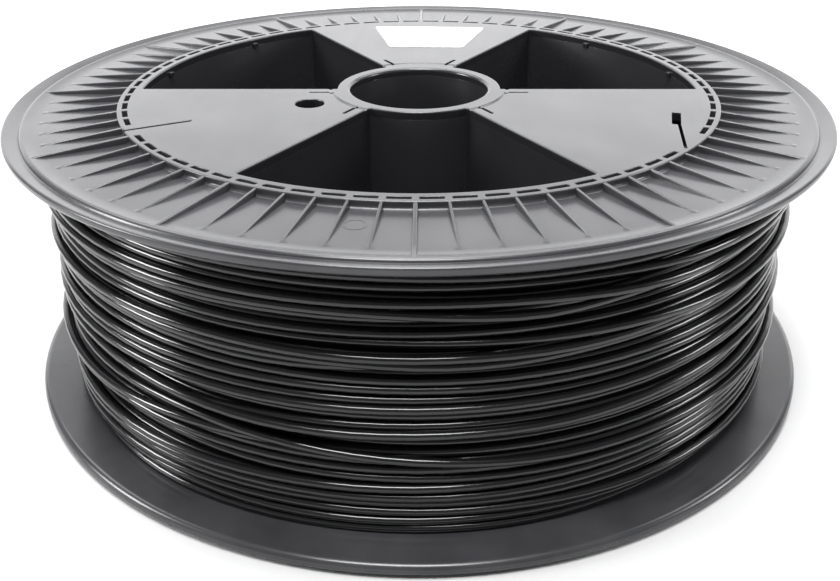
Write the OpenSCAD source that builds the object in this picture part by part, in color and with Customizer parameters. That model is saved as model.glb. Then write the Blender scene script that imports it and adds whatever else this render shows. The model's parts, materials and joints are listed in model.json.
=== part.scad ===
// Large filament spool: two ribbed flanges on a hollow core, wound full of filament.
// Millimetres, +Z along the spool's axis, origin where the axis meets the surface it stands on.

/* [Overall] */
// Outer diameter of both flanges
flange_d = 300; // [296:1:304]
// Width across the two hub faces
spool_w = 103; // [100:0.5:103]
// Depth of each flange, from its winding face to its hub face
flange_t = 5; // [4.8:0.1:5.5]

/* [Bore and drive] */
// Diameter of the spindle bore
bore_d = 52; // [50.5:0.5:53]
// Chamfer on each mouth of the bore
bore_chamfer = 0.75; // [0.3:0.05:1]
// Wall of the bore tube
bore_wall = 5; // [4:0.1:5.5]
// Diameter of the driving hole
drive_hole_d = 10.5; // [10:0.1:11]
// Distance of the driving hole from the axis
drive_hole_r = 44.5; // [44:0.1:45]
// Direction of the driving hole in the top flange, in degrees
drive_hole_a = 207.5; // [200:0.5:214]

/* [Hub] */
// Thickness of the solid hub sectors and of the collar
hub_t = 3; // [2.8:0.1:3.2]
// How far each sector's edge stands back from its radial line
edge_inset = 2.2; // [1.5:0.1:3]
// Thickness of the six webs inside the core
web_t = 2; // [1.5:0.1:2.5]
// Depth of the ring groove round the bore
groove_depth = 0.5; // [0.3:0.1:1]
// Width of the latch windows beside the sector edges
window_w = 1.1; // [1:0.1:1.6]
// Length of the latch windows
window_len = 9; // [7:0.5:11]

/* [Drum and collar] */
// Outer diameter of the winding drum
drum_d = 214.8; // [212:0.2:216]
// Wall of the winding drum
drum_wall = 2.4; // [2:0.1:3]
// Outer diameter of the collar ring
collar_d = 222.8; // [222:0.2:226]
// Wall of the collar ring
collar_wall = 1.9; // [1.7:0.1:2.1]
// Thickness of the bridges between the drum ring and the collar ring
bridge_t = 2.2; // [1.6:0.1:3]

/* [Ribs and rim] */
// Number of radial ribs, every one at an equal pitch
rib_count = 72; // [60, 72, 84]
// Thickness of the twelve long ribs
long_rib_t = 1.6; // [1.2:0.1:2]
// Thickness of the short, tapering ribs
short_rib_t = 1.2; // [0.8:0.1:1.6]
// Diameter at which the short ribs run out
short_rib_d = 276; // [260:1:280]
// Thickness of the flange's web
plate_t = 2.4; // [2.2:0.1:3]
// Height of the rim's outer lip above the winding face
lip_h = 3.4; // [3.2:0.1:3.8]
// Height of the rim's inner shoulder above the winding face
shoulder_h = 3.2; // [3:0.1:3.4]

/* [Filament end slits] */
// Width of the straight slit
slit_w = 1.4; // [1.2:0.1:2.4]
// Direction of the straight slit, in degrees
slit_a = 207; // [206:0.5:209]
// Distance of the straight slit's inner end from the axis
slit_start_r = 88; // [80:1:95]
// Width of the thin slit that leaves the keyhole
key_slit_w = 1; // [0.8:0.1:1.4]
// Width of the keyhole
key_w = 3; // [2.8:0.1:4]
// Length of the keyhole
key_len = 13; // [8:0.5:14]

/* [Winding and label] */
// Outer diameter of the wound filament
winding_d = 276; // [240:1:284]
// Thickness of the paper label
label_t = 0.15; // [0.1:0.05:0.2]

/* [Hidden] */
$fn = 120;

black_plastic = [0.09, 0.09, 0.1];
rim_r = flange_d / 2;
bore_r = bore_d / 2;
tube_r = bore_r + bore_wall;
drum_r = drum_d / 2;
drum_inner_r = drum_r - drum_wall;
collar_r = collar_d / 2;
slot_gap = 0.3;                         // between the drum's outer wall and the pockets
slot_inner_r = drum_r + slot_gap;
slot_outer_r = collar_r - collar_wall;
slot_mid_r = (slot_inner_r + slot_outer_r) / 2;
seat = flange_t - hub_t;                // depth at which the core's ends sit in a flange
core_z = hub_t;                         // lower end of the core
core_h = spool_w - 2 * hub_t;
winding_gap = 0.2;                      // play between the filament and each flange
pitch = 360 / rib_count;
long_every = rib_count / 12;
slot_len = slot_mid_r * pitch * PI / 180 - bridge_t;
flip_axis = [cos(30), sin(30), 0];      // turning the flange over this axis keeps the sectors in line
sector_centres = [90, 210, 330];
opening_centres = [30, 150, 270];
half_sector = 30;
overlap = 0.6;                          // how far joined features run into each other

// Rim section
rim_fn = 180;                           // segments round the web and the rim
foot_r = 2.2;                           // rounding of the rim at the winding face
lip_r = 0.8;                            // rounding of the outer lip
lip_arc = [0, 108];                     // directions between which the lip is round
valley_r = rim_r - 5;                   // shallow ring valley between the lip and the shoulder
valley_h = 2.1;
shoulder_r = rim_r - 6.8;
shoulder_round = 1.5;                   // rounding of the shoulder
shoulder_arc = [15, 98];                // directions between which the shoulder is round
slope_start_r = rim_r - 12.5;           // where the web starts to rise to the shoulder
arc_steps = 8;

// Ribs
rib_root = 1;                           // how deep a rib stands in the web
rib_drop = 0.15;                        // how far a rib's inner end stays below the hub face
run_out = 2;                            // how far a short rib carries on inside the web
long_rib_drop = 0.2;                    // how far a long rib's outer end stays below the shoulder

// Keyhole and its slit, which runs out between the drum ring and the collar ring
key_place = [89.8, -37.4];
key_a = 78;                             // direction of the keyhole's length
key_slit_end = [86.2, -67.6];
key_slit_a = atan2(key_slit_end[1], key_slit_end[0]) + 360;

// Pockets left solid where a slit crosses the collar
closed_slots = [floor(slit_a / pitch), floor(key_slit_a / pitch), floor(key_slit_a / pitch) + 1];

// Tabs that locate the flange inside the drum
tab_count = 12;
tab_start_a = 15;
tab_t = 1;
tab_w = 2.4;
tab_drop = 1;                           // how far a tab hangs below the core's end
tab_play = 0.05;                        // between a tab and the drum's inner wall

groove_r = 33.5;
groove_w = 1.6;
window_start_r = 32;
window_inset = 4;

// Label on the sector at 90 degrees, as two radii and two directions
label_r = [62, 99.5];
label_a = [72.7, 102.4];

function polar(r, a) = [r * cos(a), r * sin(a)];

function arc(centre, r, from, to) =
    [for (i = [0:arc_steps]) centre + polar(r, from + (to - from) * i / arc_steps)];

// Half section of the annular web and the rim, from the collar outwards
function plate_section() = concat(
    [[drum_r, 0]],
    arc([rim_r - foot_r, foot_r], foot_r, -90, 0),
    arc([rim_r - lip_r, lip_h - lip_r], lip_r, lip_arc[0], lip_arc[1]),
    [[valley_r, valley_h]],
    arc([shoulder_r, shoulder_h - shoulder_round], shoulder_round, shoulder_arc[0], shoulder_arc[1]),
    [[slope_start_r, plate_t], [drum_r, plate_t]]
);

// One open hub sector: 60 degrees with its edges stood back, between bore tube and drum
module opening_2d(a) {
    rotate(a)
        intersection() {
            difference() {
                circle(r = drum_inner_r);
                circle(r = tube_r);
            }
            translate([-edge_inset / sin(half_sector), 0])
                polygon([[0, 0], polar(rim_r, -half_sector), polar(rim_r, half_sector)]);
        }
}

// Places its child at the six sector edges, with +X outwards and +Y into the solid sector
module at_sector_edges() {
    for (c = sector_centres, side = [0, 1])
        rotate(c)
            mirror([0, side, 0])
                rotate(-half_sector)
                    children();
}

module slots_2d() {
    for (i = [0:rib_count - 1])
        if (len(search(i, closed_slots)) == 0)
            rotate((i + 0.5) * pitch)
                translate([slot_mid_r, 0])
                    square([slot_outer_r - slot_inner_r, slot_len], center = true);
}

module straight_slit_2d() {
    rotate(slit_a)
        translate([slit_start_r, -slit_w / 2])
            square([collar_r - slit_start_r + overlap, slit_w]);
}

module keyhole_2d() {
    translate(key_place)
        rotate(key_a)
            square([key_len, key_w], center = true);
    start = key_place - polar(key_len / 2, key_a) + polar((key_w - key_slit_w) / 2, key_a - 90);
    run = key_slit_end - start;
    reach = norm(run) + overlap;
    translate(start)
        rotate(atan2(run[1], run[0]))
            translate([-overlap, -key_slit_w / 2])
                square([reach, key_slit_w]);
}

// Hub sectors, bore ring and collar in plan
module hub_2d() {
    difference() {
        circle(r = collar_r);
        circle(r = bore_r);
        for (a = opening_centres)
            opening_2d(a);
        slots_2d();
        rotate(drive_hole_a)
            translate([drive_hole_r, 0])
                circle(d = drive_hole_d);
        straight_slit_2d();
        keyhole_2d();
        at_sector_edges()
            translate([window_start_r, edge_inset + window_inset])
                square([window_len, window_w]);
    }
}

module tube(outer_r, inner_r, height) {
    linear_extrude(height = height)
        difference() {
            circle(r = outer_r);
            circle(r = inner_r);
        }
}

// Side outline of a rib, as [radius, height] points, from the collar out to the radius end
function rib_outline(end, end_top) =
    let (foot = plate_t - rib_root, start = collar_r - overlap)
    [[start, foot], [end, foot], [end, end_top], [start, flange_t - rib_drop]];

// A radial plate from a side outline of [radius, height] points
module rib(outline, thickness) {
    rotate([90, 0, 0])
        linear_extrude(height = thickness, center = true)
            polygon(outline);
}

module ribs() {
    short_fall = (flange_t - rib_drop - plate_t) / (short_rib_d / 2 - collar_r + overlap);
    for (i = [0:rib_count - 1])
        rotate(i * pitch)
            if (i % long_every == 0)
                rib(rib_outline(shoulder_r, shoulder_h - long_rib_drop), long_rib_t);
            else
                rib(rib_outline(short_rib_d / 2 + run_out, plate_t - run_out * short_fall),
                    short_rib_t);
}

module locating_tabs() {
    inner = drum_inner_r - tab_t;
    outer = drum_inner_r - tab_play;
    low = seat - tab_drop;
    top = seat + tab_t;
    for (i = [0:tab_count - 1])
        rotate(tab_start_a + i * 360 / tab_count)
            rib([[inner, low], [outer, low], [outer, seat], [drum_inner_r + overlap, seat],
                 [drum_inner_r + overlap, top], [inner, top]], tab_w);
}

// One flange, winding face at z = 0 and hub face at z = flange_t
module flange() {
    difference() {
        union() {
            rotate_extrude($fn = rim_fn)
                polygon(plate_section());
            translate([0, 0, seat])
                linear_extrude(height = hub_t)
                    hub_2d();
            ribs();
            locating_tabs();
        }
        translate([0, 0, flange_t - bore_chamfer])
            cylinder(h = bore_chamfer + overlap, r1 = bore_r, r2 = bore_r + bore_chamfer + overlap);
        translate([0, 0, flange_t - groove_depth])
            tube(groove_r + groove_w / 2, groove_r - groove_w / 2, groove_depth + overlap);
    }
}

module flange_top() {
    color(black_plastic)
        translate([0, 0, spool_w - flange_t])
            flange();
}

module flange_bottom() {
    color(black_plastic)
        translate([0, 0, flange_t])
            rotate(180, flip_axis)
                flange();
}

module winding_drum() {
    color(black_plastic)
        translate([0, 0, core_z])
            tube(drum_r, drum_inner_r, core_h);
}

module bore_tube() {
    color(black_plastic)
        translate([0, 0, core_z])
            tube(tube_r, bore_r, core_h);
}

// A web under one sector edge: webs 1 and 2 flank the first solid sector, and so on round
module radial_web(number) {
    centre = sector_centres[floor((number - 1) / 2)];
    color(black_plastic)
        translate([0, 0, core_z])
            linear_extrude(height = core_h)
                rotate(centre)
                    mirror([0, (number - 1) % 2, 0])
                        rotate(-half_sector)
                            intersection() {
                                difference() {
                                    circle(r = drum_inner_r);
                                    circle(r = tube_r);
                                }
                                translate([0, edge_inset])
                                    square([rim_r, web_t]);
                            }
}

module filament_winding() {
    color([0.04, 0.04, 0.04])
        translate([0, 0, flange_t + winding_gap])
            tube(winding_d / 2, drum_r, spool_w - 2 * (flange_t + winding_gap));
}

module label() {
    color("white")
        translate([0, 0, spool_w])
            linear_extrude(height = label_t)
                polygon([polar(label_r[0], label_a[0]), polar(label_r[1], label_a[0]),
                         polar(label_r[1], label_a[1]), polar(label_r[0], label_a[1])]);
}

flange_top();
flange_bottom();
winding_drum();
bore_tube();
radial_web(1);  // radial_web_1
radial_web(2);  // radial_web_2
radial_web(3);  // radial_web_3
radial_web(4);  // radial_web_4
radial_web(5);  // radial_web_5
radial_web(6);  // radial_web_6
filament_winding();
label();
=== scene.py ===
"""A large filament spool: two ribbed flange mouldings on a hollow core, full of thick filament.

Everything is in metres, in the CAD frame: +Z along the spool's axis, origin on the floor below it.
Sizes that the frame gives are read from it, and the rest are named below.
"""
import json
import math

import bmesh
import bpy
import numpy as np
from mathutils import Matrix, Vector
from mathutils.geometry import delaunay_2d_cdt


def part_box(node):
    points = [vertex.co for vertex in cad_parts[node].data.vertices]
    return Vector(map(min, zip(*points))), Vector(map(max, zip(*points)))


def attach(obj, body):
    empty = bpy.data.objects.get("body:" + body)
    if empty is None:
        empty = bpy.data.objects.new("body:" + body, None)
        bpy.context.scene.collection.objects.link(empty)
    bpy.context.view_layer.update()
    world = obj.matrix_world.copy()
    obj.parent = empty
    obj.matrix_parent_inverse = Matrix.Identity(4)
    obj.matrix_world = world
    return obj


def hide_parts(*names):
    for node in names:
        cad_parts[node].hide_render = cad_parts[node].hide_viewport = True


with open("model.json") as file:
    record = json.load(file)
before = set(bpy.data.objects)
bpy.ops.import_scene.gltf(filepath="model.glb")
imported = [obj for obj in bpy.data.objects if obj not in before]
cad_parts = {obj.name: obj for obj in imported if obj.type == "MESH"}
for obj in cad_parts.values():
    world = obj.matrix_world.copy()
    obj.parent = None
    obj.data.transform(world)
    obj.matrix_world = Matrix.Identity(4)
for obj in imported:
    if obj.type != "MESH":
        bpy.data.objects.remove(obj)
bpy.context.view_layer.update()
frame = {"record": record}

MM = 0.001
TURN = 2 * math.pi

# ------------------------------------------------------------------ sizes from the frame
MOUNTS = {mount["name"]: mount for mount in frame["record"]["mounts"]}
FLANGE_LOW, FLANGE_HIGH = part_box("flange_top")
RIM_R = (FLANGE_HIGH.x - FLANGE_LOW.x) / 2
FLANGE_T = FLANGE_HIGH.z - FLANGE_LOW.z
SPOOL_W = FLANGE_HIGH.z
BORE_R = MOUNTS["bore"]["dims"]["r_mm"] * MM
TUBE_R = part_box("bore_tube")[1].x
DRUM_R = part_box("winding_drum")[1].x
CORE_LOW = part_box("winding_drum")[0].z
CORE_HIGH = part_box("winding_drum")[1].z
WINDING_LOW, WINDING_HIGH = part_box("filament_winding")
LABEL_LOW, LABEL_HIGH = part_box("label")

# ------------------------------------------------------------------ sizes of the moulding's details
HUB_T = CORE_LOW                       # thickness of the hub sectors and of the collar
DRUM_WALL = 2.4 * MM
DRUM_INNER_R = DRUM_R - DRUM_WALL
EDGE_INSET = 2.2 * MM                  # how far a sector's edge stands back from its radial line
WEB_T = 2 * MM                         # the core's radial webs
COLLAR_R = 111.4 * MM
POCKET_INNER_R = DRUM_R + 0.3 * MM
POCKET_OUTER_R = COLLAR_R - 1.9 * MM
BRIDGE_T = 2.2 * MM                    # between neighbouring pockets
PLATE_T = 2.4 * MM                     # the annular web
RIB_COUNT = 72
LONG_EVERY = 6
LONG_RIB_T = 1.6 * MM
SHORT_RIB_T = 1.2 * MM
SHORT_RIB_END_R = 138 * MM
RIB_TOP_DROP = 0.15 * MM               # a rib's inner end stands this far below the collar
LONG_RIB_DROP = 0.2 * MM               # and a long rib's outer end below the shoulder
RIB_ROUND = 0.5 * MM
RIB_DRAFT = 0.1 * MM                   # how far each side of a rib leans out towards its foot
RIB_ROOT = 0.7 * MM                    # how deep a rib stands in the web
RIB_START_R = COLLAR_R - 0.6 * MM      # inside the collar's edge, so that they join
RUN_OUT = 1.5 * MM                     # how far a short rib carries on inside the web
SHOULDER_R = RIM_R - 6.8 * MM          # low round shoulder inside the rim's lip
SHOULDER_H = 3.2 * MM
SHOULDER_ROUND = 1.5 * MM
VALLEY_R = RIM_R - 5 * MM              # between the lip and the shoulder
VALLEY_H = 2.1 * MM
VALLEY_BLEND = 0.35 * MM
SLOPE_START_R = RIM_R - 12.5 * MM      # where the annular web starts to rise to the shoulder
LIP_H = 3.4 * MM
LIP_R = 0.8 * MM
FOOT_R = 2.2 * MM                      # outer corner beside the winding
SECTOR_CENTRES = (90, 210, 330)        # directions of the solid hub sectors, in degrees
OPENING_CENTRES = (30, 150, 270)
HALF_SECTOR = math.radians(30)
SLIT_A = math.radians(207)             # the straight slit that holds the filament's end
SLIT_START_R = 88 * MM
SLIT_W = 1.4 * MM
KEY_CENTRE = Vector((89.8, -37.4)) * MM
KEY_A = math.radians(78)               # direction of the keyhole's length
KEY_LEN = 13 * MM
KEY_W = 3 * MM
KEY_SLIT_END = Vector((86.2, -67.6)) * MM
KEY_SLIT_W = 1 * MM
CLOSED_POCKETS = (41, 64, 65)          # left solid where a slit crosses the collar
WINDOW_START_R = 32 * MM               # latch windows beside the sector edges
WINDOW_LEN = 9 * MM
WINDOW_W = 1.1 * MM
WINDOW_INSET = 4 * MM
GROOVE_R = 33.5 * MM                   # ring groove round the bore's mouth
GROOVE_W = 2 * MM
GROOVE_DEPTH = 0.45 * MM
TAB_COUNT = 12                         # small tabs that reach into the drum
TAB_HALF_W = 1.2 * MM
TAB_HALF_H = 1 * MM
MARK_CENTRE = (-16.5 * MM, -121.5 * MM, 0)
MARK_R = 3.2 * MM                      # plain raised ring on the annular web
MARK_HALF_W = 0.4 * MM
MARK_H = 0.07 * MM
LABEL_RADII = (62 * MM, 99.5 * MM)     # the label's inner and outer corners
LABEL_ANGLES = (math.radians(72.7), math.radians(102.4))
FLIP_AXIS = Vector((math.cos(HALF_SECTOR), math.sin(HALF_SECTOR), 0))
EDGE = 0.45 * MM                       # rounding of the moulding's edges
OPENING_EDGE = 1.3 * EDGE
KEY_EDGE = 0.7 * EDGE
SMALL_EDGE = 0.6 * EDGE                # at the pockets and the latch windows
FINE_EDGE = 0.02 * MM                  # keeps a hidden edge from being knife sharp
BORE_EDGE = 1.2 * MM
PAINTED_SHADE_R = 107 * MM                      # inside this, upright walls get painted shade, as dark as the core
CORNER_R = 1.4 * MM                    # where a web meets the drum or the bore tube
COLLAR_FOOT_R = 1.1 * MM               # fillet between the collar and the annular web
HOLD = 0.12 * MM                       # flat strip that keeps shading true beside a rounding
FINE = 360                             # segments round a large circle


# ------------------------------------------------------------------ plane outlines
def polar(radius, angle):
    return Vector((radius * math.cos(angle), radius * math.sin(angle)))


def turned(points, angle):
    spin = Matrix.Rotation(angle, 2)
    return [spin @ point for point in points]


def mirrored(points):
    return [Vector((p.x, -p.y)) for p in points]


def circle(radius, count=FINE, centre=Vector((0, 0))):
    return [centre + polar(radius, TURN * i / count) for i in range(count)]


def arc(radius, start, end, steps):
    return [polar(radius, start + (end - start) * i / steps) for i in range(steps + 1)]


def rectangle(x0, x1, y0, y1):
    return [Vector((x0, y0)), Vector((x1, y0)), Vector((x1, y1)), Vector((x0, y1))]


def rounded(points, radius, steps=4, least_turn=math.radians(25)):
    """The outline with every corner sharper than least_turn rounded off."""
    result = []
    for i, corner in enumerate(points):
        before = (points[i - 1] - corner).normalized()
        after = (points[(i + 1) % len(points)] - corner).normalized()
        opening = before.angle(after)
        if math.pi - opening < least_turn:
            result.append(corner)
            continue
        reach = radius / math.tan(opening / 2)
        reach = min(reach, 0.45 * (points[i - 1] - corner).length,
                    0.45 * (points[(i + 1) % len(points)] - corner).length)
        local_r = reach * math.tan(opening / 2)
        middle = corner + (before + after).normalized() * local_r / math.sin(opening / 2)
        start = corner + before * reach - middle
        end = corner + after * reach - middle
        swing = start.angle_signed(end)
        for step in range(steps + 1):
            result.append(middle + Matrix.Rotation(-swing * step / steps, 2) @ start)
    return result


def area(points):
    return sum(points[i - 1].cross(points[i]) for i in range(len(points))) / 2


def wound(points, ccw):
    return points if (area(points) > 0) == ccw else list(reversed(points))


def offset(points, distance):
    """The outline moved to its left by distance, corner by corner."""
    co = np.array([tuple(p) for p in points])
    edge = np.roll(co, -1, axis=0) - co
    edge /= np.linalg.norm(edge, axis=1)[:, None]
    normal = np.stack([-edge[:, 1], edge[:, 0]], axis=1)
    before = np.roll(normal, 1, axis=0)
    scale = 1 + np.sum(before * normal, axis=1)
    return co + distance * (before + normal) / scale[:, None]


def inside_count(centres, loops):
    """How many of the loops hold each centre, by counting the edges to its right."""
    count = np.zeros(len(centres), int)
    for loop in loops:
        x0, y0 = loop[:, 0], loop[:, 1]
        x1, y1 = np.roll(x0, -1), np.roll(y0, -1)
        cy = centres[:, 1][:, None]
        spans = (y0[None] > cy) != (y1[None] > cy)
        rise = np.where(y1 == y0, 1, y1 - y0)
        cross = x0[None] + (cy - y0[None]) * ((x1 - x0) / rise)[None]
        count += (np.sum(spans & (cross > centres[:, 0][:, None]), axis=1) % 2).astype(int)
    return count


# ------------------------------------------------------------------ meshes
def new_mesh(name, vertices, faces):
    mesh = bpy.data.meshes.new(name)
    mesh.from_pydata([tuple(v) for v in vertices], [], [tuple(f) for f in faces])
    mesh.update()
    return mesh


def join(name, parts):
    """One mesh out of several lists of (vertices, faces)."""
    vertices, faces = [], []
    for part_vertices, part_faces in parts:
        start = len(vertices)
        vertices.extend(part_vertices)
        faces.extend([tuple(start + i for i in face) for face in part_faces])
    return new_mesh(name, vertices, faces)


def edge_profile(edge, low, high, low_edge, steps=3):
    """(offset, z) pairs down a slab's side, with a rounded top edge and a broken bottom edge."""
    pairs = [(edge + HOLD, high)]
    for i in range(steps + 1):
        a = math.pi / 2 * i / steps
        pairs.append((edge * (1 - math.sin(a)), high - edge * (1 - math.cos(a))))
    pairs.append((0, high - edge - HOLD))
    pairs.append((0, low + low_edge))
    pairs.append((low_edge, low))
    return pairs


def slab(outlines, low, high, low_edge=0.12 * MM):
    """A flat slab. outlines holds (points, edge): the outer one first, then its holes."""
    vertices, faces = [], []
    top_loops, bottom_loops = [], []
    for number, (points, edge) in enumerate(outlines):
        points = wound(points, number == 0)
        count = len(points)
        rings = []
        for distance, z in edge_profile(edge, low, high, low_edge):
            start = len(vertices)
            loop = offset(points, distance)
            vertices.extend((x, y, z) for x, y in loop)
            rings.append((start, loop))
        for (upper, _), (lower, _) in zip(rings, rings[1:]):
            for i in range(count):
                j = (i + 1) % count
                faces.append((upper + i, lower + i, lower + j, upper + j))
        top_loops.append(rings[0])
        bottom_loops.append(rings[-1])
    for loops, flip in ((top_loops, False), (bottom_loops, True)):
        faces.extend(cap(loops, flip))
    return vertices, faces


def cap(loops, flip):
    """Triangles between the first loop and the others. Each loop is (first vertex, its points)."""
    points, edges, index = [], [], []
    for start, loop in loops:
        first = len(points)
        count = len(loop)
        points.extend(Vector(p) for p in loop)
        index.extend(range(start, start + count))
        edges.extend((first + i, first + (i + 1) % count) for i in range(count))
    found, _, triangles, origin, _, _ = delaunay_2d_cdt(points, edges, [], 0, 1e-9)
    centres = np.array([sum((found[i] for i in t), Vector((0, 0))) / 3 for t in triangles])
    held = inside_count(centres, [loop for _, loop in loops])
    faces = []
    for triangle, count in zip(triangles, held):
        if count == 1:
            corners = [index[origin[i][0]] for i in triangle]
            faces.append(tuple(reversed(corners)) if flip else tuple(corners))
    return faces


def lathe(profile, segments=FINE):
    """A closed (radius, z) profile turned round Z. The profile runs counterclockwise."""
    count = len(profile)
    vertices, faces = [], []
    for step in range(segments):
        a = TURN * step / segments
        vertices.extend((r * math.cos(a), r * math.sin(a), z) for r, z in profile)
    for step in range(segments):
        here, there = step * count, (step + 1) % segments * count
        for i in range(count):
            j = (i + 1) % count
            faces.append((here + i, there + i, there + j, here + j))
    return vertices, faces


def placed(part, matrix):
    vertices, faces = part
    return [tuple(matrix @ Vector(v)) for v in vertices], faces


def boolean(mesh, other, operation):
    body = bpy.data.objects.new("boolean_body", mesh)
    tool = bpy.data.objects.new("boolean_tool", other)
    for obj in (body, tool):
        bpy.context.scene.collection.objects.link(obj)
    modifier = body.modifiers.new("cut", "BOOLEAN")
    modifier.operation = operation
    modifier.solver = "MANIFOLD"
    modifier.object = tool
    result = bpy.data.meshes.new_from_object(
        body.evaluated_get(bpy.context.evaluated_depsgraph_get()))
    for obj in (body, tool):
        bpy.data.objects.remove(obj)
    return result


def without_slivers(mesh):
    """The mesh without the faces of no area and the doubled faces that the booleans leave."""
    work = bmesh.new()
    work.from_mesh(mesh)
    bmesh.ops.dissolve_degenerate(work, edges=work.edges, dist=0.001 * MM)
    same_corners = {}
    for face in work.faces:
        same_corners.setdefault(frozenset(face.verts), []).append(face)
    doubled = [face for faces in same_corners.values() if len(faces) > 1 for face in faces]
    bmesh.ops.delete(work, geom=doubled, context="FACES")
    work.to_mesh(mesh)
    work.free()
    return mesh


def show(name, mesh, material, replaces=(), sharp=32):
    """Puts a finished mesh in the scene as a piece that rides on the spool."""
    mesh.shade_smooth()
    mesh.set_sharp_from_angle(angle=math.radians(sharp))
    mesh.materials.clear()
    mesh.materials.append(material)
    piece = bpy.data.objects.new(name, mesh)
    bpy.context.scene.collection.objects.link(piece)
    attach(piece, "root")
    if replaces:
        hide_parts(*replaces)


# ------------------------------------------------------------------ flange moulding
def opening_outline(centre):
    outer_swing = HALF_SECTOR + math.asin(EDGE_INSET / DRUM_INNER_R)
    inner_swing = HALF_SECTOR + math.asin(EDGE_INSET / TUBE_R)
    a = math.radians(centre)
    outline = arc(DRUM_INNER_R, a - outer_swing, a + outer_swing, 60)
    outline += arc(TUBE_R, a + inner_swing, a - inner_swing, 24)
    return rounded(outline, CORNER_R, steps=6)


def pocket_outline(number):
    middle_r = (POCKET_INNER_R + POCKET_OUTER_R) / 2
    half = (middle_r * TURN / RIB_COUNT - BRIDGE_T) / 2
    box = rectangle(POCKET_INNER_R, POCKET_OUTER_R, -half, half)
    return rounded(turned(box, (number + 0.5) * TURN / RIB_COUNT), 0.45 * MM, steps=2)


def collar_outline():
    """The collar's circle, with the straight slit let in."""
    swing = math.asin(SLIT_W / 2 / COLLAR_R)
    outline = arc(COLLAR_R, SLIT_A + swing, SLIT_A + TURN - swing, FINE)
    notch = [Vector((SLIT_START_R, -SLIT_W / 2)), Vector((SLIT_START_R, SLIT_W / 2))]
    return rounded(outline + turned(notch, SLIT_A), 0.7 * MM)


def keyhole_outline():
    up = polar(KEY_LEN / 2, KEY_A)
    out = polar(KEY_W / 2, KEY_A - math.pi / 2)
    slit_side = out * (KEY_SLIT_W / (KEY_W / 2))
    start = KEY_CENTRE - up + out - slit_side / 2
    along = (KEY_SLIT_END - start).normalized()
    side = Vector((-along.y, along.x)) * KEY_SLIT_W / 2
    outline = [KEY_CENTRE + up - out, KEY_CENTRE - up - out, start - slit_side / 2,
               KEY_SLIT_END - side, KEY_SLIT_END + side, start + slit_side / 2,
               KEY_CENTRE + up + out]
    return rounded(outline, 0.5 * MM)


def window_outlines():
    """Latch windows beside the sector edges."""
    y = EDGE_INSET + WINDOW_INSET
    box = rectangle(WINDOW_START_R, WINDOW_START_R + WINDOW_LEN, y, y + WINDOW_W)
    outlines = []
    for centre in SECTOR_CENTRES:
        a = math.radians(centre)
        for points, side in ((box, a - HALF_SECTOR), (mirrored(box), a + HALF_SECTOR)):
            outlines.append(rounded(turned(points, side), 0.3 * MM, steps=2))
    return outlines


def hub_slab():
    hole = MOUNTS["drive_hole_top"]
    hole_centre = Vector(hole["pos_m"][:2])
    outlines = [(collar_outline(), EDGE), (circle(BORE_R, 192), BORE_EDGE)]
    outlines += [(opening_outline(centre), OPENING_EDGE) for centre in OPENING_CENTRES]
    outlines += [(pocket_outline(number), SMALL_EDGE) for number in range(RIB_COUNT)
                 if number not in CLOSED_POCKETS]
    outlines.append((circle(hole["dims"]["r_mm"] * MM, 48, hole_centre), EDGE))
    outlines.append((keyhole_outline(), KEY_EDGE))
    outlines += [(outline, SMALL_EDGE) for outline in window_outlines()]
    return slab(outlines, FLANGE_T - HUB_T, FLANGE_T, FINE_EDGE)


def profile_arc(centre, radius, start, end, steps=6):
    cx, cz = centre
    angles = [math.radians(start + (end - start) * i / steps) for i in range(steps + 1)]
    return [(cx + radius * math.cos(a), cz + radius * math.sin(a)) for a in angles]


def plate_profile():
    """Section of the annular web and the rim."""
    profile = [(DRUM_R, 0), (DRUM_R + HOLD, 0), (RIM_R - FOOT_R - HOLD, 0)]
    profile += profile_arc((RIM_R - FOOT_R, FOOT_R), FOOT_R, -90, 0, 8)
    profile += profile_arc((RIM_R - LIP_R, LIP_H - LIP_R), LIP_R, 0, 108, 8)
    profile.append((VALLEY_R + VALLEY_BLEND, VALLEY_H + 0.4 * VALLEY_BLEND))
    profile.append((VALLEY_R, VALLEY_H))
    profile += profile_arc((SHOULDER_R, SHOULDER_H - SHOULDER_ROUND), SHOULDER_ROUND, 18, 106, 10)
    slope_r, slope_z = profile[-1][0] - SLOPE_START_R, profile[-1][1] - PLATE_T
    for step in range(5, -1, -1):
        t = step / 6
        profile.append((SLOPE_START_R + t * slope_r, PLATE_T + t * t * slope_z))
    profile.append((COLLAR_R + COLLAR_FOOT_R + HOLD, PLATE_T))
    foot_top = PLATE_T + COLLAR_FOOT_R
    profile += profile_arc((COLLAR_R + COLLAR_FOOT_R, foot_top), COLLAR_FOOT_R, 270, 180)
    under_collar = COLLAR_R - 0.5 * MM
    profile += [(under_collar, foot_top), (under_collar, PLATE_T), (DRUM_R, PLATE_T)]
    return profile


def rib(thickness, start, end, start_top, end_top, stations=4):
    """One radial rib with slightly drafted sides and a rounded top edge, along +X."""
    foot = PLATE_T - RIB_ROOT
    half = (thickness - RIB_DRAFT) / 2
    vertices = []
    for station in range(stations + 1):
        t = station / stations
        x = start + (end - start) * t
        top = start_top + (end_top - start_top) * t
        section = [(half + RIB_DRAFT, foot), (half, top - RIB_ROUND)]
        for step in range(1, 4):
            a = math.pi / 2 * step / 3
            section.append((half - RIB_ROUND * (1 - math.cos(a)),
                            top - RIB_ROUND * (1 - math.sin(a))))
        section += [(-y, z) for y, z in reversed(section)]
        vertices.extend((x, y, z) for y, z in section)
        count = len(section)
    faces = []
    for station in range(stations):
        here, there = station * count, (station + 1) * count
        for i in range(count):
            j = (i + 1) % count
            faces.append((here + i, there + i, there + j, here + j))
    faces.append(tuple(range(count)))
    faces.append(tuple(reversed(range(stations * count, (stations + 1) * count))))
    return vertices, [tuple(reversed(f)) for f in faces]


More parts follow.
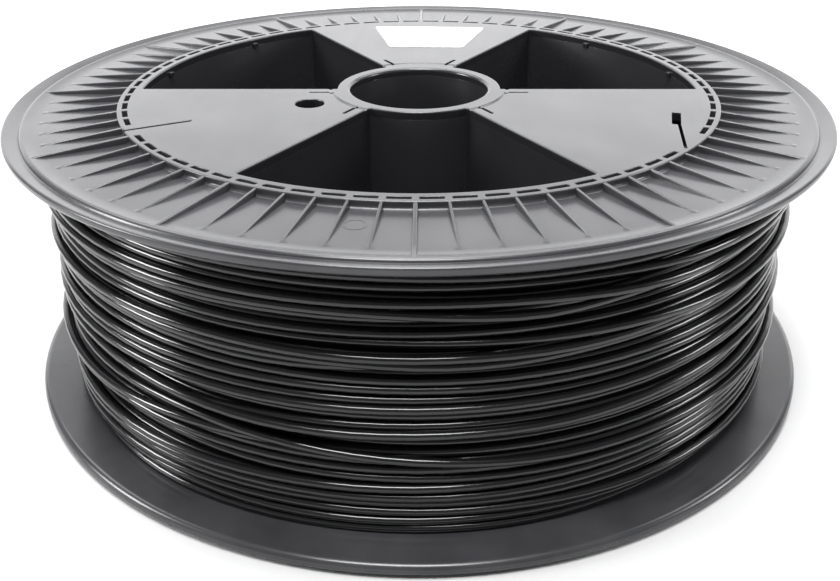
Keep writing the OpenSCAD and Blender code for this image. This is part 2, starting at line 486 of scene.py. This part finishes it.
def all_ribs():
    top = FLANGE_T - RIB_TOP_DROP
    long_rib = rib(LONG_RIB_T, RIB_START_R, SHOULDER_R, top, SHOULDER_H - LONG_RIB_DROP)
    short_slope = (top - PLATE_T) / (SHORT_RIB_END_R - RIB_START_R)
    short_rib = rib(SHORT_RIB_T, RIB_START_R, SHORT_RIB_END_R + RUN_OUT, top,
                    PLATE_T - RUN_OUT * short_slope)
    ribs = []
    for number in range(RIB_COUNT):
        part = long_rib if number % LONG_EVERY == 0 else short_rib
        ribs.append(placed(part, Matrix.Rotation(number * TURN / RIB_COUNT, 4, "Z")))
    return ribs


def tabs():
    """Tabs that locate the flange inside the drum, each with the root that holds it."""
    seat = FLANGE_T - HUB_T
    inner, outer = DRUM_INNER_R - 1 * MM, DRUM_INNER_R - 0.05 * MM
    outline = rounded(rectangle(inner, outer, -TAB_HALF_W, TAB_HALF_W), 0.3 * MM, steps=2)
    tab = slab([(outline, 0.1 * MM)], seat - TAB_HALF_H, seat + TAB_HALF_H)
    root_half = 0.85 * TAB_HALF_W
    root_box = rectangle(inner + 0.15 * MM, DRUM_INNER_R + 0.6 * MM, -root_half, root_half)
    root = slab([(root_box, 0.1 * MM)], seat + 0.02 * MM, seat + 0.9 * MM)
    parts = []
    for number in range(TAB_COUNT):
        spin = Matrix.Rotation((number + 0.5) * TURN / TAB_COUNT, 4, "Z")
        parts.append((placed(tab, spin), placed(root, spin)))
    return parts


def flange_mesh():
    """The flange, with its winding face at z = 0 and its hub face at z = FLANGE_T."""
    mesh = join("hub", [hub_slab()])
    mesh = boolean(mesh, join("plate", [lathe(plate_profile())]), "UNION")
    mesh = boolean(mesh, join("ribs", all_ribs()), "UNION")
    for group in zip(*tabs()):
        mesh = boolean(mesh, join("tabs", group), "UNION")
    round_r = ((GROOVE_W / 2) ** 2 + GROOVE_DEPTH ** 2) / (2 * GROOVE_DEPTH)
    groove = profile_arc((GROOVE_R, FLANGE_T - GROOVE_DEPTH + round_r), round_r, 0, 350, 35)
    mesh = boolean(mesh, join("groove", [lathe(groove, 192)]), "DIFFERENCE")
    foot, top = PLATE_T - 0.3 * MM, PLATE_T + MARK_H
    top_half_w = 0.7 * MARK_HALF_W
    mark = [(MARK_R - MARK_HALF_W, foot), (MARK_R + MARK_HALF_W, foot),
            (MARK_R + top_half_w, top), (MARK_R - top_half_w, top)]
    spot = Matrix.Translation(MARK_CENTRE)
    mesh = boolean(mesh, join("mark", [placed(lathe(mark, 40), spot)]), "UNION")
    return without_slivers(mesh)


# ------------------------------------------------------------------ core
def tube_profile(inner, outer, low, high, edge=0.04 * MM):
    corners = [((inner + edge, low + edge), 180, 270), ((outer - edge, low + edge), 270, 360),
               ((outer - edge, high - edge), 0, 90), ((inner + edge, high - edge), 90, 180)]
    profile = []
    for centre, start, end in corners:
        profile += profile_arc(centre, edge, start, end, 3)
    return profile


def web_outline():
    """A web along +X between the bore tube and the drum, flared where it meets them."""
    low, high = EDGE_INSET, EDGE_INSET + WEB_T
    flare = CORNER_R
    tube_x = math.sqrt(TUBE_R ** 2 - (high + flare) ** 2)
    drum_x = math.sqrt(DRUM_INNER_R ** 2 - (low - flare) ** 2)

    def curve(x, x_dir, y, y_dir):
        angles = [math.pi / 2 * i / 4 for i in range(5)]
        return [Vector((x + x_dir * flare * (1 - math.sin(a)),
                        y + y_dir * flare * (1 - math.cos(a)))) for a in angles]

    outline = list(reversed(curve(tube_x, 1, low, -1)))
    outline += curve(drum_x, -1, low, -1)
    outline += list(reversed(curve(drum_x, -1, high, 1)))
    outline += curve(tube_x, 1, high, 1)
    return outline


# ------------------------------------------------------------------ filament
STRAND_D = 2.85 * MM
STRAND_SIDES = 10
SAMPLES = 96                           # rings per turn
BASE_R = 129.9 * MM                    # middle of the deepest modelled turns
PITCH = 2.96 * MM
LAYERS = 3
FILAMENT_SEED = 11
# Where a strand moves right across others: turns before the end, start in turns, and distance
CROSSINGS = ((7, 0.70, 7 * MM), (12, 0.68, 8 * MM), (19, 0.66, -6 * MM))
CROSSING_SPAN = 0.14                   # of a turn, over which it moves
DRIFTS = ((0.83, 0.20), (1.37, 0.32), (2.61, 0.30), (5.3, 0.25))  # period in turns, size in mm
SPREAD_INNER, SPREAD_OUTER = 0.1, 0.24  # how unevenly the turns of a layer are spaced
TIGHTEST = 0.96                        # least spacing, in pitches
HOP_CHANCE_INNER, HOP_CHANCE_OUTER = 0.12, 0.6  # of a turn that wanders off and back
STIFF_SIDEWAYS, STIFF_OUTWARD, STIFF_ALL = 2.2, 1.8, 0.8  # smoothing, in samples
SLIDES = np.linspace(-1.3, 1.3, 14) * MM  # how far a strand may slide to find a groove
SLIDE_COST = 70.0                      # per metre squared, against the height it gains
SINK = 0.12 * MM                       # the most that smoothing may press a turn into those below
STRAND_LOW = WINDING_LOW.z + STRAND_D / 2
STRAND_HIGH = WINDING_HIGH.z - STRAND_D / 2
PACKED_R = BASE_R - 2.6 * MM           # middle of the ridges that stand for the turns deeper down
PACKED_RIDGES = 31


def smooth(values, sigma, context):
    """A Gaussian along the strand. context is what lies before it, so turns join without a kink."""
    reach = int(3 * sigma) + 1
    kernel = np.exp(-0.5 * (np.arange(-reach, reach + 1) / sigma) ** 2)
    kernel /= kernel.sum()
    before = context[-reach:] if len(context) >= reach else np.full(reach, values[0])
    after = np.full(reach, values[-1])
    return np.convolve(np.concatenate([before, values, after]), kernel, "valid")


def guide_turns(rng):
    """Where the winder's guide stands over each turn, as rows of z, going up and down in layers."""
    z, direction, layer = STRAND_LOW, 1, 0
    rows, layers = [], []
    while layer < LAYERS:
        spread = SPREAD_INNER if layer < LAYERS - 1 else SPREAD_OUTER
        step = PITCH * max(TIGHTEST, 1 + spread * rng.normal())
        following = min(max(z + direction * step, STRAND_LOW), STRAND_HIGH)
        rows.append(np.linspace(z, following, SAMPLES, endpoint=False))
        layers.append(layer)
        if following in (STRAND_LOW, STRAND_HIGH):
            direction, layer = -direction, layer + 1
        z = following
    return np.array(rows), np.array(layers)


def wander(count, rng):
    """Slow sideways drift of the guide, in metres, over the whole length."""
    t = np.arange(count * SAMPLES) / SAMPLES
    drift = np.zeros_like(t)
    for period, size in DRIFTS:
        drift += size * MM * np.sin(TURN * (t / period + rng.random()))
    return drift.reshape(count, SAMPLES)


def eased(values):
    """0 to 1 with a smooth start and end."""
    t = np.clip(values, 0, 1)
    return t * t * (3 - 2 * t)


def hops(count, layers, rng):
    """Places where the strand runs across its neighbours, in metres."""
    shift = np.zeros((count, SAMPLES))
    angle = np.arange(SAMPLES) / SAMPLES
    for from_end, start, size in CROSSINGS:
        shift[count - from_end] += size * eased((angle - start) / CROSSING_SPAN)
    for turn in range(count):
        chance = HOP_CHANCE_OUTER if layers[turn] == LAYERS - 1 else HOP_CHANCE_INNER
        if rng.random() > chance:
            continue
        start, length = rng.random() * 0.55, 0.12 + 0.3 * rng.random()
        size = rng.choice((-1, 1)) * (0.8 + 1.7 * rng.random()) * MM
        ramp = 0.07 + 0.06 * rng.random()
        away = eased((angle - start) / ramp)
        back = eased((angle - start - length) / ramp)
        shift[turn] += size * (away - back)
    return shift


def rest_height(z, placed_z, placed_r):
    """Radius at which a strand at each z rests on the turns already laid. z has rows of samples."""
    gap = np.abs(z[:, None, :] - placed_z[None])
    lift = np.sqrt(np.clip(STRAND_D ** 2 - gap ** 2, 0, None))
    return np.where(gap < STRAND_D, placed_r[None] + lift, BASE_R).max(axis=1, initial=BASE_R)


def lay_filament():
    """Lays the strand turn by turn: it slides towards the grooves between the turns below it,
    and bridges them as a stiff strand does. Returns its z and radius along the whole length."""
    rng = np.random.default_rng(FILAMENT_SEED)
    rows, layers = guide_turns(rng)
    count = len(rows)
    wanted = rows + wander(count, rng) + hops(count, layers, rng)
    wanted = np.clip(wanted, STRAND_LOW, STRAND_HIGH)
    z = np.zeros((count, SAMPLES))
    r = np.zeros((count, SAMPLES))
    for turn in range(count):
        choices = np.clip(wanted[turn][None] + SLIDES[:, None], STRAND_LOW, STRAND_HIGH)
        height = rest_height(choices, z[:turn], r[:turn])
        best = np.argmin(height + SLIDE_COST * SLIDES[:, None] ** 2, axis=0)
        settled = choices[best, np.arange(SAMPLES)]
        z[turn] = smooth(settled, STIFF_SIDEWAYS, z[:turn].ravel())
        support = rest_height(z[turn][None], z[:turn], r[:turn])[0]
        near = np.maximum(np.maximum(support, np.roll(support, 1)), np.roll(support, -1))
        eased_r = smooth(near, STIFF_OUTWARD, r[:turn].ravel())
        r[turn] = np.maximum(eased_r, support - SINK)
    nothing = np.empty(0)
    return smooth(z.ravel(), STIFF_ALL, nothing), smooth(r.ravel(), STIFF_ALL, nothing)


def strand(z, r):
    """A round tube along the winding path, with both ends closed."""
    sides = STRAND_SIDES
    count = len(z)
    angle = np.arange(count) * TURN / SAMPLES
    path = np.stack([r * np.cos(angle), r * np.sin(angle), z], axis=1)
    along = np.gradient(path, axis=0)
    along /= np.linalg.norm(along, axis=1)[:, None]
    outward = np.stack([np.cos(angle), np.sin(angle), np.zeros(count)], axis=1)
    outward -= along * np.sum(along * outward, axis=1)[:, None]
    outward /= np.linalg.norm(outward, axis=1)[:, None]
    across = np.cross(along, outward)
    swing = np.arange(sides) * TURN / sides
    ring = (np.cos(swing)[None, :, None] * outward[:, None] +
            np.sin(swing)[None, :, None] * across[:, None])
    vertices = (path[:, None] + STRAND_D / 2 * ring).reshape(-1, 3)
    ring_start = np.arange(count - 1)[:, None] * sides
    i = np.arange(sides)[None]
    j = (i + 1) % sides
    quads = np.stack([ring_start + i, ring_start + j, ring_start + sides + j,
                      ring_start + sides + i], axis=2).reshape(-1, 4)
    faces = [tuple(q) for q in quads.tolist()]
    faces.append(tuple(reversed(range(sides))))
    faces.append(tuple(range((count - 1) * sides, count * sides)))
    return vertices, faces


def packed_turns_profile():
    """Section of the turns deeper down: a tube whose outside is a row of round ridges."""
    low, high = WINDING_LOW.z, WINDING_HIGH.z
    end_r = PACKED_R + 0.2 * MM
    pitch = (high - low) / PACKED_RIDGES
    profile = [(DRUM_R, low), (end_r, low)]
    for ridge in range(PACKED_RIDGES):
        profile += profile_arc((PACKED_R, low + (ridge + 0.5) * pitch), pitch / 2, -72, 72, 4)
    profile += [(end_r, high), (DRUM_R, high)]
    return profile


# ------------------------------------------------------------------ materials
class Shader:
    """A material under construction: a Principled shader and short ways to add nodes to it."""

    def __init__(self, name, colour, roughness, **sockets):
        self.material = bpy.data.materials.new(name)
        self.material.use_nodes = True
        self.tree = self.material.node_tree
        self.main = self.tree.nodes["Principled BSDF"]
        self.main.inputs["Base Color"].default_value = (*colour, 1)
        self.main.inputs["Roughness"].default_value = roughness
        for socket, value in sockets.items():
            self.main.inputs[socket].default_value = value
        coordinates = self.tree.nodes.new("ShaderNodeTexCoord")
        self.place = coordinates.outputs["Object"]
        self.facing = coordinates.outputs["Normal"]

    def node(self, kind, **values):
        made = self.tree.nodes.new("ShaderNode" + kind)
        for socket, value in values.items():
            self.feed(value, made.inputs[socket])
        return made

    def stretched(self, scale):
        return self.node("Mapping", Vector=self.place, Scale=scale).outputs["Vector"]

    def noise(self, scale, detail=3, place=None, roughness=0.5):
        return self.node("TexNoise", Vector=place or self.place, Scale=scale, Detail=detail,
                         Roughness=roughness).outputs["Fac"]

    def spread(self, value, low, high, from_low=0.3, from_high=0.7):
        made = self.node("MapRange", Value=value)
        for socket, number in (("From Min", from_low), ("From Max", from_high),
                               ("To Min", low), ("To Max", high)):
            made.inputs[socket].default_value = number
        return made.outputs["Result"]

    def feed(self, value, target):
        """Puts a socket's output or a plain value into an input."""
        if isinstance(value, bpy.types.NodeSocket):
            self.tree.links.new(value, target)
        else:
            target.default_value = value

    def maths(self, kind, operation, *values):
        """The output of a Math or VectorMath node."""
        made = self.tree.nodes.new("ShaderNode" + kind)
        made.operation = operation
        for value, target in zip(values, made.inputs):
            self.feed(value, target)
        return made.outputs["Value" if operation == "LENGTH" or kind == "Math" else "Vector"]

    def add(self, first, second):
        return self.maths("Math", "ADD", first, second)

    def with_painted_hub_shade(self, value):
        """The value, but 0 on the upright walls inside the hub, which get painted shade as dark as
        the core.
        """
        facing = self.node("SeparateXYZ", Vector=self.facing)
        flatness = self.maths("Math", "POWER", facing.outputs["Z"], 2)
        level = self.spread(flatness, 0, 1, 0.05, 0.6)
        radius = self.maths("VectorMath", "LENGTH",
                            self.maths("VectorMath", "MULTIPLY", self.place, (1, 1, 0)))
        outside = self.maths("Math", "GREATER_THAN", radius, PAINTED_SHADE_R)
        unshaded = self.maths("Math", "MAXIMUM", level, outside)
        return self.maths("Math", "MULTIPLY", value, unshaded)

    def colour_between(self, value, dark, light):
        made = self.tree.nodes.new("ShaderNodeMix")
        made.data_type = "RGBA"
        made.inputs[6].default_value = (*dark, 1)
        made.inputs[7].default_value = (*light, 1)
        self.tree.links.new(value, made.inputs[0])
        self.link(made.outputs[2], "Base Color")

    def link(self, value, socket):
        self.tree.links.new(value, self.main.inputs[socket])

    def bump(self, *layers):
        """Each layer is (height, distance)."""
        normal = None
        for height, distance in layers:
            made = self.node("Bump", Height=height, Distance=distance)
            made.inputs["Strength"].default_value = 1
            if normal:
                self.tree.links.new(normal, made.inputs["Normal"])
            normal = made.outputs["Normal"]
        self.link(normal, "Normal")


# dark end of the random mottle, and the colour of the painted shade inside the hub and on the core
MOTTLE_AND_SHADE_DARK = (0.014, 0.014, 0.016)


def moulded_plastic(name, roughness, dark, light, paint_hub_shade=False):
    """Satin black injection moulding: fine grain, faint flow marks and the haze of handling.
    When asked, the upright walls inside the hub are left at the dark colour as painted shade."""
    shader = Shader(name, light, roughness, IOR=1.5)
    haze = shader.noise(14, 4)
    scuffs = shader.noise(260, 3, shader.stretched((1, 0.12, 1)))
    rough = shader.add(shader.spread(haze, roughness - 0.02, roughness + 0.02),
                       shader.spread(scuffs, -0.01, 0.015))
    shader.link(rough, "Roughness")
    mottle = shader.noise(40, 3)
    # painted shade: when asked, the hub's upright walls take the dark colour
    shader.colour_between(shader.with_painted_hub_shade(mottle) if paint_hub_shade else mottle, dark, light)
    shader.bump((shader.noise(2600, 2), 0.0015 * MM), (shader.noise(60, 2), 0.006 * MM))
    return shader.material


def filament_plastic():
    """Glossy black extruded filament, with slight changes of gloss from turn to turn."""
    shader = Shader("filament_black", (0.008, 0.008, 0.009), 0.15, IOR=1.48)
    streaks = shader.noise(9, 3, shader.stretched((1, 1, 40)))
    rough = shader.add(shader.spread(streaks, 0.12, 0.2),
                       shader.spread(shader.noise(90, 3), -0.02, 0.02))
    shader.link(rough, "Roughness")
    shader.colour_between(streaks, (0.004, 0.004, 0.0045), (0.008, 0.008, 0.0085))
    shader.bump((shader.noise(700, 3), 0.01 * MM), (shader.noise(60, 2), 0.08 * MM))
    return shader.material


def label_paper():
    """Matt white sticker paper with a fine fibre."""
    shader = Shader("label_paper", (0.86, 0.86, 0.85), 0.6)
    shader.colour_between(shader.noise(900, 4), (0.82, 0.82, 0.81), (0.88, 0.88, 0.87))
    shader.link(shader.spread(shader.noise(500, 3), 0.52, 0.68), "Roughness")
    shader.bump((shader.noise(1500, 3, shader.stretched((1, 0.35, 1))), 0.01 * MM))
    return shader.material


def floor_paper():
    """Pale, even backdrop paper."""
    shader = Shader("floor_paper", (0.56, 0.56, 0.56), 0.75)
    shader.colour_between(shader.noise(3, 2), (0.55, 0.55, 0.55), (0.57, 0.57, 0.568))
    shader.bump((shader.noise(900, 2), 0.01 * MM))
    return shader.material


# ------------------------------------------------------------------ making the spool
def make_flanges():
    plastic = moulded_plastic("reel_plastic", 0.24, MOTTLE_AND_SHADE_DARK, (0.057, 0.057, 0.061), paint_hub_shade=True)
    mesh = flange_mesh()
    top = mesh.copy()
    top.transform(Matrix.Translation((0, 0, SPOOL_W - FLANGE_T)))
    show("upper_flange_moulding", top, plastic, ["flange_top"])
    mesh.transform(Matrix.Translation((0, 0, FLANGE_T)) @ Matrix.Rotation(math.pi, 4, FLIP_AXIS))
    show("lower_flange_moulding", mesh, plastic, ["flange_bottom"])


def make_core():
    # the core's colour is darker than the flanges': painted shade of the hollows inside the hub
    plastic = moulded_plastic("core_plastic", 0.26, MOTTLE_AND_SHADE_DARK, (0.02, 0.02, 0.0225))
    drum = lathe(tube_profile(DRUM_INNER_R, DRUM_R, CORE_LOW, CORE_HIGH))
    show("drum_wall", join("drum_wall", [drum]), plastic, ["winding_drum"])
    tube = lathe(tube_profile(BORE_R, TUBE_R, CORE_LOW, CORE_HIGH), 192)
    show("bore_wall", join("bore_wall", [tube]), plastic, ["bore_tube"])
    outline = web_outline()
    for number in range(6):
        centre = math.radians(SECTOR_CENTRES[number // 2])
        if number % 2:
            shape = turned(mirrored(outline), centre + HALF_SECTOR)
        else:
            shape = turned(outline, centre - HALF_SECTOR)
        web = slab([(shape, FINE_EDGE)], CORE_LOW, CORE_HIGH, FINE_EDGE)
        show(f"web_wall_{number + 1}", join("web_wall", [web]), plastic,
             [f"radial_web_{number + 1}"])


def make_filament():
    plastic = filament_plastic()
    turns = strand(*lay_filament())
    show("filament_outer_turns", join("filament_outer_turns", [turns]), plastic,
         ["filament_winding"], sharp=60)
    packed = lathe(packed_turns_profile(), 144)
    show("filament_packed_turns", join("filament_packed_turns", [packed]), plastic,
         sharp=60)


def make_label():
    first, last = LABEL_ANGLES
    inner, outer = LABEL_RADII
    corners = [polar(inner, first), polar(outer, first), polar(outer, last), polar(inner, last)]
    sheet = slab([(rounded(corners, 2 * MM, 6), 0.03 * MM)], LABEL_LOW.z, LABEL_HIGH.z, 0.01 * MM)
    show("paper_label", join("paper_label", [sheet]), label_paper(), ["label"])


# ------------------------------------------------------------------ the studio
# name, place, size, radiance, and the height on the spool's axis that it looks at
SOFTBOXES = (
    ("back_low", (0, 1.15, 0.4), (3.2, 0.74), 1.95, 0.4),
    ("back_high", (0, 0.75, 1.35), (2.4, 0.95), 4.8, 0.1),
    ("left_box", (-1.16, -0.19, 0.5), (0.34, 0.4), 24, 0.05),
    ("right_box", (1.16, -0.12, 0.5), (0.3, 0.36), 14, 0.05),
    ("overhead", (-0.04, 0.05, 1.35), (0.7, 0.7), 9, 0.05),
    ("front_top", (-0.07, -0.56, 1.25), (0.62, 0.36), 26, 0.05),
)
WORLD_COLOUR = (0.95, 0.96, 1, 1)
WORLD_STRENGTH = 0.3
CAMERA_PLACE = (0.0003, -0.3763, 0.2158)
CAMERA_DOWN = math.radians(24.67)
CAMERA_ROLL = math.radians(-0.135)
CAMERA_ORBIT = math.radians(0.5)
CAMERA_LENS = 43.73                    # mm, on a sensor 36 mm wide
CAMERA_SHIFT = -0.072


def make_floor():
    half, cells = 5.0, 20
    places = [-half + 2 * half * i / cells for i in range(cells + 1)]
    vertices = [(x, y, 0) for y in places for x in places]
    faces = []
    for j in range(cells):
        for i in range(cells):
            a = j * (cells + 1) + i
            faces.append((a, a + 1, a + cells + 2, a + cells + 1))
    mesh = new_mesh("studio_floor", vertices, faces)
    mesh.materials.append(floor_paper())
    floor = bpy.data.objects.new("studio_floor", mesh)
    bpy.context.scene.collection.objects.link(floor)


def softbox(name, place, size, radiance, aim_z):
    """A rectangular light that looks at a point on the spool's axis."""
    light = bpy.data.lights.new(name, "AREA")
    light.shape = "RECTANGLE"
    light.size, light.size_y = size
    light.energy = radiance * math.pi * size[0] * size[1]
    lamp = bpy.data.objects.new(name, light)
    lamp.location = place
    aim = Vector((0, 0, aim_z)) - Vector(place)
    lamp.rotation_euler = aim.to_track_quat("-Z", "Y").to_euler()
    lamp.visible_camera = False
    bpy.context.scene.collection.objects.link(lamp)


def make_lights():
    for light in SOFTBOXES:
        softbox(*light)
    world = bpy.data.worlds.new("studio")
    world.use_nodes = True
    background = world.node_tree.nodes["Background"]
    background.inputs["Color"].default_value = WORLD_COLOUR
    background.inputs["Strength"].default_value = WORLD_STRENGTH
    bpy.context.scene.world = world


def make_camera():
    camera = bpy.data.cameras.new("camera")
    camera.lens = CAMERA_LENS
    camera.sensor_width = 36
    camera.shift_y = CAMERA_SHIFT
    camera.clip_start = 0.01
    eye = bpy.data.objects.new("camera", camera)
    tilt = Matrix.Rotation(math.pi / 2 - CAMERA_DOWN, 4, "X")
    roll = Matrix.Rotation(CAMERA_ROLL, 4, "Z")
    orbit = Matrix.Rotation(CAMERA_ORBIT, 4, "Z")
    eye.matrix_world = orbit @ Matrix.Translation(CAMERA_PLACE) @ tilt @ roll
    bpy.context.scene.collection.objects.link(eye)
    bpy.context.scene.camera = eye


make_camera()
make_flanges()
make_core()
make_filament()
make_label()
make_floor()
make_lights()
bpy.context.scene.view_settings.view_transform = "Standard"
